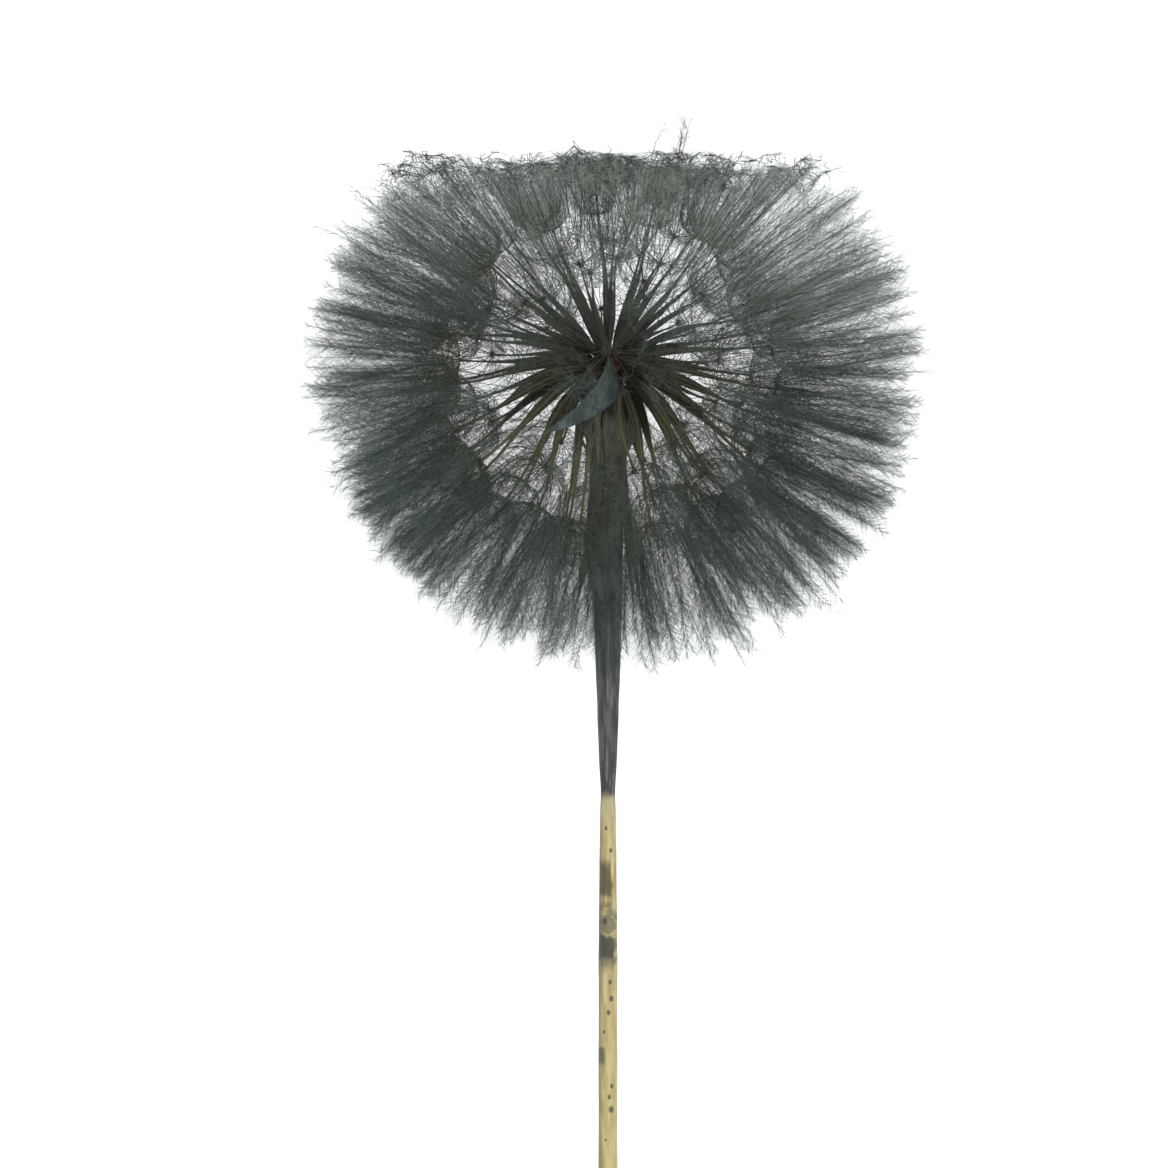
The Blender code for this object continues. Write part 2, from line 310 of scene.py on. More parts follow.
def finish_bract(name, base, streak, lighter):
    """Papery mottled leaf, streaked lengthwise near the head."""
    leaf = Finish(name, 0.6)
    place = leaf.upright_place()
    fibres = leaf.noise(place, 1500, 3, 0.6, stretch=(1, 1, 0.07))
    streaks = leaf.ease(fibres, 0.47, 0.62)
    cloud = leaf.ease(leaf.noise(place, 380, 4, 0.6), 0.42, 0.6)
    body = leaf.mix(cloud * 0.8, base, lighter)
    _, _, z = leaf.parts_of(place)
    near_head = leaf.ease(z, -0.034, -0.016)
    leaf.colour(leaf.mix((0.1 + streaks * 0.7) * near_head, body, streak))
    leaf.rough(0.5 + cloud * 0.25)
    leaf.bump(fibres, 0.06 * MM)
    return leaf.material


def finish_receptacle():
    pith = Finish("brown_pith", 0.8)
    place = pith.upright_place()
    grain = pith.noise(place, 900, 4, 0.65)
    pith.colour(pith.mix(pith.ease(grain, 0.35, 0.7), (0.030, 0.017, 0.011), (0.095, 0.050, 0.030)))
    pith.rough(0.7 + grain * 0.2)
    pith.bump(grain, 0.08 * MM)
    return pith.material


def finish_stem():
    """Slate grey and fibrous down to the waist, then straw with brown and black blotches."""
    stalk = Finish("grey_and_straw_stalk", 0.6)
    place = stalk.upright_place()
    x, _, z = stalk.parts_of(place)
    below = z * (-1 / MM)  # millimetres below the head's centre
    side = x / MM
    fibres = stalk.noise(place, 2600, 3, 0.6, stretch=(1, 1, 0.035))
    fine = stalk.noise(place, 1400, 3, 0.55, stretch=(1, 1, 0.16))
    patch = stalk.noise(place, 420, 4, 0.6)
    flecks = stalk.noise(place, 3200, 3, 0.7, stretch=(1, 1, 0.5))

    grey = stalk.mix(stalk.ease(fine, 0.40, 0.66), (0.036, 0.041, 0.038), (0.080, 0.086, 0.080))
    grey = stalk.mix(stalk.ease(fibres, 0.56, 0.70) * 0.55, grey, (0.19, 0.20, 0.17))
    grey = stalk.mix(stalk.ease(flecks, 0.66, 0.74) * 0.7, grey, (0.38, 0.38, 0.33))

    straw = stalk.mix(stalk.ease(fine, 0.35, 0.68), (0.33, 0.27, 0.115), (0.50, 0.43, 0.22))
    straw = stalk.mix(stalk.ease(below, 70, 112) * 0.5, straw, (0.46, 0.385, 0.16))
    straw = stalk.mix(stalk.ease(fibres, 0.56, 0.68) * 0.35, straw, (0.16, 0.11, 0.045))
    straw = stalk.mix(stalk.ease(below, 67.5, 62.5) * 0.6, straw, (0.40, 0.36, 0.22))

    ragged = (patch - 0.5) * 3.2
    edge = stalk.ease(below + ragged, 60.6, 62.2)
    body = stalk.mix(edge, grey, straw)

    brown = (0.060, 0.044, 0.022)
    slate = (0.052, 0.050, 0.042)
    wander = (fine - 0.5) * 2.4
    streak = stalk.window(below + ragged, 70.2, 71.6, 75.4, 76.8) * stalk.ease(side + wander, 0.75, 0.1)
    body = stalk.mix(streak * 0.85, body, brown)
    greyed = stalk.window(below + ragged * 1.6, 76.4, 78.2, 85.6, 87.4) * stalk.ease(patch, 0.44, 0.58)
    body = stalk.mix(greyed * 0.75, body, (0.10, 0.092, 0.068))
    band = stalk.window(below + ragged * 0.5, 81.2, 82.0, 84.5, 85.3)
    band = band * stalk.ease(side + wander * 0.5, 0.95, 0.35)
    body = stalk.mix(band * 0.93, body, slate)
    foot = stalk.window(below + ragged, 97.2, 98.2, 99.6, 100.8) * stalk.ease(side + wander * 0.4, -0.2, -0.8)
    body = stalk.mix(foot * 0.8, body, slate)
    for place_below, place_side, size in STEM_SPOTS:
        across, up = side - place_side, (below - place_below) * 0.7
        away = stalk.math("POWER", across * across + up * up, 0.5) + wander * 0.12
        body = stalk.mix(stalk.ease(away, size, size * 0.45) * 0.85, body, slate)
    shade = stalk.ease(side + wander * 0.3, -0.55, -1.25) * edge
    body = stalk.mix(shade * 0.55, body, (0.10, 0.10, 0.085))
    stalk.colour(body)
    stalk.rough(0.45 + patch * 0.3)
    stalk.bump(fibres, 0.09 * MM)
    return stalk.material


# Making

def in_edit_mode(piece):
    bpy.context.view_layer.objects.active = piece
    bpy.ops.object.mode_set(mode="EDIT")


def draw_out(name, sides, outline, ridge=0.0, squash=1.0, merge=1e-5):
    """A closed rod about Z: a filled circle at its foot, extruded from height to height and resized at each.
    The outline is of heights and radii; ridge is how far every second edge stands out; squash flattens it."""
    bpy.ops.object.select_all(action="DESELECT")
    foot, first = outline[0]
    bpy.ops.mesh.primitive_circle_add(vertices=sides, radius=first, fill_type="NGON", location=(0, 0, foot))
    rod = bpy.context.object
    rod.name = rod.data.name = name
    bpy.ops.object.transform_apply(location=True, rotation=True, scale=True)
    in_edit_mode(rod)
    centre = (0, 0, foot)
    if ridge:
        bpy.ops.mesh.select_all(action="DESELECT")
        bm = bmesh.from_edit_mesh(rod.data)
        bpy.ops.mesh.select_mode(type="VERT")
        for vertex in bm.verts:
            vertex.select = vertex.index % 2 == 0
        bmesh.update_edit_mesh(rod.data)
        bpy.ops.transform.resize(value=(1 + ridge, 1 + ridge, 1), center_override=centre)
    bpy.ops.mesh.select_all(action="SELECT")
    bpy.ops.transform.resize(value=(1, squash, 1), center_override=centre)
    for (below, wide), (above, narrow) in zip(outline, outline[1:]):
        bpy.ops.mesh.extrude_region_move(TRANSFORM_OT_translate={"value": (0, 0, above - below)})
        size = narrow / wide
        bpy.ops.transform.resize(value=(size, size, 1), center_override=(0, 0, above))
    bpy.ops.mesh.select_all(action="SELECT")
    bpy.ops.mesh.remove_doubles(threshold=merge)
    bpy.ops.mesh.normals_make_consistent(inside=False)
    bpy.ops.object.mode_set(mode="OBJECT")
    return rod


class Pattern:
    """A modelled rod's mesh as arrays, so that it can be laid along many curves; the rod itself goes."""

    def __init__(self, rod, stations):
        mesh = rod.data
        points = np.zeros(len(mesh.vertices) * 3)
        mesh.vertices.foreach_get("co", points)
        self.points = points.reshape(-1, 3)
        self.station = np.rint(self.points[:, 2] * (stations - 1)).astype(int)
        self.loops = np.zeros(len(mesh.loops), int)
        mesh.loops.foreach_get("vertex_index", self.loops)
        self.totals = np.zeros(len(mesh.polygons), int)
        mesh.polygons.foreach_get("loop_total", self.totals)
        bpy.data.objects.remove(rod)
        bpy.data.meshes.remove(mesh)

    def lay_along(self, spines, facing, width):
        """The pattern's points laid along each spine, its X turned toward the way given for the spine.
        The width is one for each spine, or one for each of its stations."""
        along = unit(np.gradient(spines, axis=1))
        across = unit(facing[:, None] - along * dot(facing[:, None], along))
        up = np.cross(along, across)
        size = width[:, self.station, None] if width.ndim == 2 else width[:, None, None]
        x, y = self.points[:, 0, None], self.points[:, 1, None]
        return spines[:, self.station] + size * (across[:, self.station] * x + up[:, self.station] * y)


def dot(first, second):
    return (first * second).sum(-1, keepdims=True)


def unit(vectors):
    return vectors / np.maximum(np.linalg.norm(vectors, axis=-1, keepdims=True), 1e-12)


def direction(lean, turn):
    return np.stack([np.sin(lean) * np.cos(turn), np.sin(lean) * np.sin(turn), np.cos(lean)], axis=-1)


def fruit_place(number):
    """How far a fruit leans from the crown, and how far round the stem it stands."""
    share = (number + 0.5) / FRUITS
    return np.arccos(1 - share * (1 - math.cos(SPIRAL_EDGE))), SPIRAL_TURN + number * GOLDEN_ANGLE


def lean_along(lean, distance):
    """A seed's lean at a distance from the head's centre: its foot stands nearer the crown than its tip."""
    gone = (distance - SEED_FOOT) / (BEAK_TIP - SEED_FOOT)
    return lean * (1 - (1 - CROWDING) * (1 - gone) ** 2)


def pair_up():
    """The fruits in pairs of neighbours, from the stem's end of the spiral up."""
    places = {number: direction(*fruit_place(number)) for number in range(FRUITS) if number not in GAP_PLACES}
    left = list(places)
    pairs = []
    while left:
        last = left.pop()
        nearest = max(left, key=lambda number: places[number] @ places[last])
        left.remove(nearest)
        pairs.append((nearest, last))
    return pairs


def sideways(axes):
    """Two directions square to each axis and to each other."""
    helper = np.where(np.abs(axes[:, 2:]) < 0.9, [[0, 0, 1.0]], [[1.0, 0, 0]])
    first = unit(np.cross(helper, axes))
    return first, np.cross(axes, first)


def stay_under(places, ways, step, normal, level):
    """Turns each way along a plane that the next step would pass, and keeps the step's length."""
    height = dot(places, normal)
    over = height + dot(ways, normal) * step > level
    rise = np.clip((level - height) / step, -0.95, 0.95)
    flat = unit(ways - normal * dot(ways, normal))
    return np.where(over, flat * np.sqrt(1 - rise**2) + normal * rise, ways)


def within_bounds(places, ways, step, mat):
    """Keeps hair under the pressed crown and off the table; mat is how far inside each hair stays."""
    ways = stay_under(places, ways, step, np.array([0, 0, 1.0]), CROWN_HEIGHT - mat)
    return stay_under(places, ways, step, -TABLE_NORMAL, HEAD_HEIGHT - 0.12 * MM - mat * 0.6)


def place_mesh(name, parts, finish, attributes):
    """One mesh of many copies of patterns, laid down with the plant; parts holds (pattern, laid points)."""
    points, loops, totals, start = [], [], [], 0
    for pattern, laid in parts:
        copies = len(laid)
        points.append(laid.reshape(-1, 3))
        loops.append((pattern.loops + start + len(pattern.points) * np.arange(copies)[:, None]).ravel())
        totals.append(np.tile(pattern.totals, copies))
        start += copies * len(pattern.points)
    points, loops, totals = np.concatenate(points), np.concatenate(loops), np.concatenate(totals)
    turned = np.array(LAY_DOWN)
    points = points @ turned[:3, :3].T + turned[:3, 3]
    mesh = bpy.data.meshes.new(name)
    mesh.vertices.add(len(points))
    mesh.vertices.foreach_set("co", points.ravel())
    mesh.loops.add(len(loops))
    mesh.loops.foreach_set("vertex_index", loops)
    mesh.polygons.add(len(totals))
    mesh.polygons.foreach_set("loop_start", np.concatenate([[0], np.cumsum(totals)[:-1]]))
    mesh.update(calc_edges=True)
    mesh.shade_smooth()
    for key, values in attributes.items():
        layer = mesh.attributes.new(key, "FLOAT", "POINT")
        layer.data.foreach_set("value", values.astype(np.float32))
    mesh.materials.append(finish)
    piece = bpy.data.objects.new(name, mesh)
    bpy.context.scene.collection.objects.link(piece)
    return piece


def settle(piece, finish, nodes):
    """Gives a finished piece its finish if it has none, hangs it under the root body, and hides the parts
    that it stands for.
    """
    if not piece.data.materials:
        piece.data.materials.append(finish)
    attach(piece, "root")
    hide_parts(*nodes)


def lay_down(rod):
    rod.data.transform(LAY_DOWN)


# Stem, receptacle and bracts

def stem_radius(below):
    """The stem's radius at a distance below the head's centre."""
    heights, radii = zip(*STEM_OUTLINE)
    return np.interp(below / MM, heights, radii) * MM


def make_stem(finish):
    """The stalk, drawn out from its cut end up, then hollowed at the cut."""
    def waver(below):
        return 1 + 0.016 * math.sin(below * 0.9) + 0.012 * math.sin(below * 2.3 + 1)

    levels = [124, 120, 115, 110, 105, 101, 98, 94, 90, 85.1, 82, 79, 76.4, 73, 70.5, 68, 66, 64.7, 63, 61.6]
    levels += [60.3, 58.6, 57, 55, 53, 50.4, 47.9, 44.8, 41.7, 37, 33, 30, 27, 22, 18.5, 14, 10, 6.5, 3.2]
    outline = [(-level * MM, stem_radius(level * MM) * waver(level)) for level in levels]
    outline.append((-2.72 * MM, 1.9 * MM))
    stem = draw_out("stem", 40, outline, ridge=0.028)
    in_edit_mode(stem)
    bpy.ops.mesh.select_mode(type="FACE")
    bpy.ops.mesh.select_all(action="DESELECT")
    bm = bmesh.from_edit_mesh(stem.data)
    for face in bm.faces:
        face.select = face.calc_center_median().z < (-STEM_LENGTH + 0.01 * MM)
    bmesh.update_edit_mesh(stem.data)
    bpy.ops.mesh.inset(thickness=0.38 * MM, depth=0)
    for depth, size in ((0.4, 0.94), (3, 0.98), (9, 0.9)):
        bpy.ops.mesh.extrude_region_move(TRANSFORM_OT_translate={"value": (0, 0, depth * MM)})
        bpy.ops.transform.resize(value=(size, size, 1), center_override=(0, 0, -STEM_LENGTH + depth * MM))
    bpy.ops.object.mode_set(mode="OBJECT")
    stem.data.shade_smooth()
    stem.data.set_sharp_from_angle(angle=math.radians(45))
    lay_down(stem)
    settle(stem, finish, ["stem"])


def make_receptacle(finish):
    """The cushion that the seeds stand on, pitted all over."""
    bpy.ops.object.select_all(action="DESELECT")
    bpy.ops.mesh.primitive_uv_sphere_add(segments=22, ring_count=14, radius=RECEPTACLE_RADIUS * 0.96)
    cushion = bpy.context.object
    cushion.name = cushion.data.name = "receptacle"
    in_edit_mode(cushion)
    bpy.ops.mesh.select_all(action="SELECT")
    bpy.ops.mesh.bisect(
        plane_co=(0, 0, -STEM_TOP + 0.5 * MM), plane_no=(0, 0, -1), use_fill=True, clear_outer=True
    )
    bpy.ops.mesh.select_mode(type="FACE")
    bpy.ops.mesh.select_all(action="DESELECT")
    bm = bmesh.from_edit_mesh(cushion.data)
    for face in bm.faces:
        face.select = face.calc_center_median().z > -STEM_TOP + 0.8 * MM and len(face.verts) == 4
    bmesh.update_edit_mesh(cushion.data)
    bpy.ops.mesh.inset(thickness=0.11 * MM, depth=0, use_individual=True)
    bpy.ops.mesh.inset(thickness=0.07 * MM, depth=-0.16 * MM, use_individual=True)
    bpy.ops.object.mode_set(mode="OBJECT")
    cushion.data.shade_smooth()
    lay_down(cushion)
    settle(cushion, finish, ["receptacle"])


FOLDED_BRACTS = 7
FOLDED_LENGTH = 31 * MM
FOLDED_WIDTH = 2.3 * MM
FOLDED_FLARE = 2.1 * MM  # how far the folded bract bows out where it turns back
FOLDED_LOOSE = 6.5 * MM  # how fast its tip leaves the stem
SPREAD_HALF_WIDTH = 3.2 * MM
BRACT_TOP = STEM_TOP + 0.3 * MM
BLADE_OUTLINE = (  # share of the length, half width as a share of the greatest
    (0.0, 0.66), (0.04, 0.82), (0.1, 0.95), (0.18, 1.0), (0.28, 0.97), (0.38, 0.9), (0.48, 0.8), (0.58, 0.69),
    (0.68, 0.56), (0.78, 0.42), (0.87, 0.28), (0.94, 0.16), (0.98, 0.08), (1.0, 0.02),
)


def bract_points(blade):
    points = np.zeros(len(blade.data.vertices) * 3)
    blade.data.vertices.foreach_get("co", points)
    return points.reshape(-1, 3)


def make_folded_bract(number, finish):
    """A bract folded back along the stem, wrapped round it, its edges curling away and its tip loose."""
    name = f"folded_bract_{number + 1}"
    blade = draw_out(name, 14, BLADE_OUTLINE, squash=0.13, merge=1e-4)
    turn = math.tau * (number + 0.5) / FOLDED_BRACTS
    length = FOLDED_LENGTH * (1 + 0.08 * math.sin(2.6 * number))
    points = bract_points(blade)
    share = points[:, 2]
    below = BRACT_TOP + length * share
    inner = stem_radius(below) + 0.34 * MM
    across = points[:, 0] * FOLDED_WIDTH / 2
    curl = 0.16 * MM * points[:, 0] ** 2 * np.sin(np.pi * share)
    keel = -0.10 * MM * np.exp(-((points[:, 0] / 0.18) ** 2)) * (1 - share)
    flare = FOLDED_FLARE * np.exp(-(((share - 0.13) / 0.09) ** 2))
    looseness = 0.35 + 0.65 * math.sin(4.1 * number + 1) ** 2
    loose = FOLDED_LOOSE * np.clip(share - 0.3, 0, 1) ** 1.4 * looseness
    waver = 0.18 * MM * np.sin(7 * share + number)
    outward = inner + points[:, 1] * 1.15 * MM + curl + keel + loose + flare
    angle = turn + (across + waver * share) / inner
    laid = np.stack([outward * np.cos(angle), outward * np.sin(angle), -below], axis=-1)
    blade.data.vertices.foreach_set("co", laid.ravel())
    finish_blade(blade, finish, [name])


def finish_blade(blade, finish, nodes):
    """The last steps of every bract."""
    in_edit_mode(blade)
    bpy.ops.mesh.select_all(action="SELECT")
    bpy.ops.mesh.normals_make_consistent(inside=False)
    bpy.ops.object.mode_set(mode="OBJECT")
    blade.data.shade_smooth()
    lay_down(blade)
    settle(blade, finish, nodes)


def make_spread_bract(finish):
    """The one bract that stands out among the seeds: it leans over from one gap to the next, half folded."""
    blade = draw_out("spread_bract", 14, BLADE_OUTLINE, squash=0.16, merge=1e-4)
    points = bract_points(blade)
    share = points[:, 2]

    def middle(share):
        distance = SEED_FOOT + 0.3 * MM + (SPREAD_REACH - SEED_FOOT - 0.3 * MM) * share
        start, end = (
            direction(lean_along(lean, distance), np.full(len(share), turn))
            for lean, turn in (fruit_place(place) for place in GAP_PLACES)
        )
        over = (np.clip(share, 0, 1) ** 1.6)[:, None]
        return unit(start * (1 - over) + end * over) * distance[:, None]

    start, end = (direction(*fruit_place(place)) for place in GAP_PLACES)
    side = unit(np.cross(start, end))
    along = unit(middle(share + 0.01) - middle(share))
    face = unit(np.cross(side, along))
    wide = points[:, 0] * SPREAD_HALF_WIDTH * np.clip(0.4 + 2.0 * share, 0, 1)
    fold = 0.5 * MM * np.abs(points[:, 0]) ** 1.5 - 0.25 * MM
    curl = 0.25 * MM * np.sin(5 * share + 2 * points[:, 0])
    laid = middle(share) + side * wide[:, None] - face * (points[:, 1] * 0.95 * MM + fold + curl)[:, None]
    blade.data.vertices.foreach_set("co", laid.ravel())
    finish_blade(blade, finish, ["spread_bract"])


# Seeds and plumes

STOUTNESS = ((60, 85, 105, 125), (0.66, 0.82, 0.98, 1.05))  # degrees from the crown, thickness of the seed
SEED_OUTLINE = (  # share of the way from foot to beak's tip, radius in millimetres
    (0.00, 0.22), (0.04, 0.38), (0.10, 0.52), (0.19, 0.62), (0.30, 0.61), (0.40, 0.54), (0.49, 0.43),
    (0.57, 0.33), (0.66, 0.24), (0.76, 0.18), (0.87, 0.155), (0.955, 0.17), (0.985, 0.25), (1.00, 0.20),
)
SEED_SHARES, SEED_RADII = np.array(SEED_OUTLINE).T
def seed_spines(numbers):
    """The curves that the seeds and their beaks follow, a little wavy."""
    lean, turn = fruit_place(np.array(numbers))
    shares = SEED_SHARES
    distance = SEED_FOOT + (beak_tips[numbers][:, None] - SEED_FOOT) * shares
    leans = lean[:, None] * (1 - (1 - CROWDING) * (1 - shares) ** 2)
    spines = direction(leans, np.repeat(turn[:, None], len(shares), axis=1)) * distance[:, :, None]
    first, second = sideways(direction(lean, turn))
    sway = chance.normal(0, 0.42 * MM, (len(numbers), 2))
    bow = (np.sin(np.pi * shares) ** 2)[:, None]
    return spines + bow * (first * sway[:, :1] + second * sway[:, 1:])[:, None], first


def make_seeds(group, numbers, nodes, finish, pattern):
    spines, facing = seed_spines(numbers)
    stout = np.interp(np.degrees(fruit_place(np.array(numbers))[0]), *STOUTNESS)
    laid = pattern.lay_along(spines, facing, stout * chance.uniform(0.88, 1.1, len(numbers)) * MM)
    copies = len(numbers)
    tone = np.repeat(chance.uniform(0, 1, copies), len(pattern.points))
    reach = np.hypot(pattern.points[:, 0], pattern.points[:, 1])
    ridge = np.tile(np.where(reach > SEED_RADII[pattern.station] * 1.05, 1.0, 0.0), copies)
    along = np.tile(SEED_SHARES[pattern.station], copies)
    attributes = {"tone": tone, "ridge": ridge, "along": along}
    settle(place_mesh(f"seeds_{group:02d}", [(pattern, laid)], finish, attributes), finish, nodes)


def clump_centres():
    """Directions that the ribs' ends gather toward, spread over the whole head, and how hard they pull."""
    order = np.arange(CLUMPS)
    centres = direction(np.arccos(1 - 2 * (order + 0.5) / CLUMPS), order * GOLDEN_ANGLE)
    centres = unit(centres + chance.normal(0, 0.045, centres.shape))
    strong = chance.uniform(0, 1, CLUMPS) < STRONG_CLUMPS
    pull = np.where(strong, chance.uniform(0.7, 1.15, CLUMPS), chance.uniform(0, 0.3, CLUMPS))
    centres[0], pull[0] = unit(TUFT), TUFT_PULL
    return centres, pull


def grow_ribs(numbers, clumps, pull):
    """The ribs' spines: out sideways from the beak's tip, round into a cup, then up and a little outward.
    Also the way square to each, how far inside the crown's plane it stays, and what is left of its hair and
    its web."""
    lean, turn = fruit_place(np.array(numbers))
    axes = np.repeat(direction(lean, turn), RIBS, axis=0)
    first, second = sideways(axes)
    count = len(axes)
    order = np.tile(np.arange(RIBS), len(numbers))
    start = np.repeat(chance.uniform(0, math.tau, len(numbers)), RIBS)
    angle = start + math.tau * (order + chance.uniform(-0.3, 0.3, count)) / RIBS
    out = first * np.cos(angle)[:, None] + second * np.sin(angle)[:, None]
    side = np.cross(axes, out)
    tips = unit(axes * RIB_AIM[0] + out * RIB_AIM[1])
    chosen = np.argmax(tips @ clumps.T, axis=1)
    nearest, pull = clumps[chosen], pull[chosen][:, None]
    missed = chosen == 0
    spread = np.radians(np.clip(chance.normal(*RIB_SPREAD, count), 0, WIDEST_SPREAD))
    steepest = np.radians(chance.uniform(*STEEPEST, count))
    lopsided = 1.02 + 0.045 * axes[:, 0] - 0.10 * np.clip(axes @ SHORT_SIDE, 0, 1) ** 2
    reach = np.clip(chance.normal(1, 0.055, count), 0.8, 1.12) * lopsided
    long = chance.uniform(0, 1, count) < LONG_RIBS
    reach = np.where(long, reach + chance.uniform(0.06, 0.2, count), reach)
    tips_at = np.repeat(beak_tips[numbers], RIBS)
    reach = reach + (BEAK_TIP - tips_at) / RIB_STATIONS[-1] * 0.8
    room = CROWN_HEIGHT / np.maximum(axes[:, 2], 0.01) - tips_at + chance.uniform(1, 6, count) * MM
    room = room / RIB_ROOM
    scale = np.where(missed, TUFT_SIZE, np.minimum(reach, np.maximum(room, 0.5)))
    tilt = np.repeat(chance.normal(0, 0.11, (len(numbers), 2)), RIBS, axis=0)
    bent = unit(axes + first * tilt[:, :1] + second * tilt[:, 1:])
    wobble = chance.normal(0, 0.05, (count, 1)) * side + chance.normal(0, 0.04, (count, 1)) * out
    second_wobble = chance.normal(0, 0.08, (count, 1)) * side
    deep = np.repeat(np.abs(chance.normal(0, 0.8, len(numbers))), RIBS)
    mat = (deep + np.abs(chance.normal(0, 0.8, count)))[:, None] * MM
    mat = np.where(missed[:, None], -9 * MM, mat)
    places = axes * tips_at[:, None] + out * 0.14 * MM
    spines = [places]
    ways = out
    for before, after in zip(RIB_STATIONS, RIB_STATIONS[1:]):
        middle = (before + after) / 2
        step = ((after - before) * scale)[:, None]
        turned = np.clip(middle / CUP_TURN, 0, 1)
        lift = spread + (steepest - spread) * (1 - turned**2 * (3 - 2 * turned))
        late = middle / RIB_STATIONS[-1]
        before_press = ways
        ways = bent * np.cos(lift)[:, None] + out * np.sin(lift)[:, None]
        ways = ways + wobble * math.sin(3.1 * late) * 2 + second_wobble * late
        gather = nearest * dot(nearest, places) - places
        ways = ways + gather / GATHER_WITHIN * np.clip(late - 0.3, 0, 1) * pull
        pressed = places[:, 2:] + ways[:, 2:] * step * 1.4 > CROWN_HEIGHT - mat
        curl = before_press * 0.6 + chance.normal(0, 0.8, (count, 3)) - [0, 0, 0.5]
        ways = unit(np.where(pressed, curl, ways))
        ways = within_bounds(places, ways, step, mat)
        places = places + ways * step
        spines.append(places)
    facing = np.clip((np.abs(axes[:, 1]) - 0.45) / 0.4, 0, 1)
    fullness = np.repeat(np.interp(np.degrees(lean), *FULLNESS), RIBS)
    share_worn = WORN * np.interp(np.degrees(lean), *FEWER_WORN)
    worn = np.repeat(chance.uniform(0, 1, len(numbers)) < share_worn, RIBS) * facing
    hair = fullness * (1 - THINNER * facing) * (1 - 0.6 * worn)
    web = (0.45 + 0.55 * fullness) * (1 - 0.95 * worn)
    return np.stack(spines, axis=1), side, mat, (hair, web)


def grow_hairs(sort, spines, side, mat, fullness):
    """Fine hairs on the ribs, each from its place on the rib forward and aside. Near the crown's plane most
    of the outermost hairs stay on, whatever the rib's fullness."""
    per_rib, curls_freely = sort.per_rib, sort.curl > 1
    ribs = len(spines)
    level = spines[:, -1, 2]
    matted = np.repeat((level > CROWN_HEIGHT - MATTED_DEPTH) & (level < CROWN_HEIGHT), per_rib)
    matted &= np.tile(np.arange(per_rib) > per_rib * OUTERMOST, ribs)
    kept = chance.uniform(0, 1, ribs * per_rib) < np.where(matted, MATTED_HAIR, np.repeat(fullness, per_rib))
    owner = np.repeat(np.arange(ribs), per_rib)[kept]
    count = len(owner)
    stand, crowd, lifts, lengths = np.array(sort.stands).T
    fine = np.linspace(stand[0], min(stand[-1], 0.985), 200)
    filled = np.cumsum(np.interp(fine, stand, crowd))
    ordered = (np.tile(np.arange(per_rib), ribs)[kept] + chance.uniform(0, 1, count)) / per_rib
    shares = np.interp(ordered, (filled - filled[0]) / (filled[-1] - filled[0]), fine)
    length = sort.length * MM * np.interp(shares, stand, lengths) * chance.uniform(0.5, 1.4, count)
    travelled = shares * RIB_STATIONS[-1]
    upper = np.clip(np.searchsorted(RIB_STATIONS, travelled), 1, len(RIB_STATIONS) - 1)
    part = ((travelled - RIB_STATIONS[upper - 1]) / (RIB_STATIONS[upper] - RIB_STATIONS[upper - 1]))[:, None]
    low, high = spines[owner, upper - 1], spines[owner, upper]
    foot = low + (high - low) * part
    along = unit(high - low)
    over = np.cross(along, side[owner])
    swing = np.where(chance.uniform(0, 1, count) < 0.5, 1, -1) + chance.normal(0, 0.25, count)
    tilt = 0.75 * np.clip(shares * 2.5, 0.15, 1)[:, None]
    aside = unit(side[owner] * swing[:, None] + over * chance.normal(0, 1, (count, 1)) * tilt)
    vary = (0.8, 1.15) if sort is WEB else (0.5, 1.4)
    lift = np.radians(np.interp(shares, stand, lifts) * chance.uniform(*vary, count))
    ways = along * np.cos(lift)[:, None] + aside * np.sin(lift)[:, None]
    points = [foot]
    near = mat[owner] * 0.7 + (CURLS_INSIDE if curls_freely else 0)
    for number, share in enumerate(sort.parts):
        step = (length * share)[:, None]
        way = unit(ways + number * (along * 0.12 + aside * chance.normal(0, sort.curl, (count, 1))))
        if curls_freely:
            ways = way = unit(ways + chance.normal(0, 0.7, (count, 3)))
        way = within_bounds(points[-1], way, step, near)
        points.append(points[-1] + way * step)
    facing = along if sort is WEB else over
    return np.stack(points, axis=1), facing, sort.radius * MM * chance.uniform(0.75, 1.3, count), shares


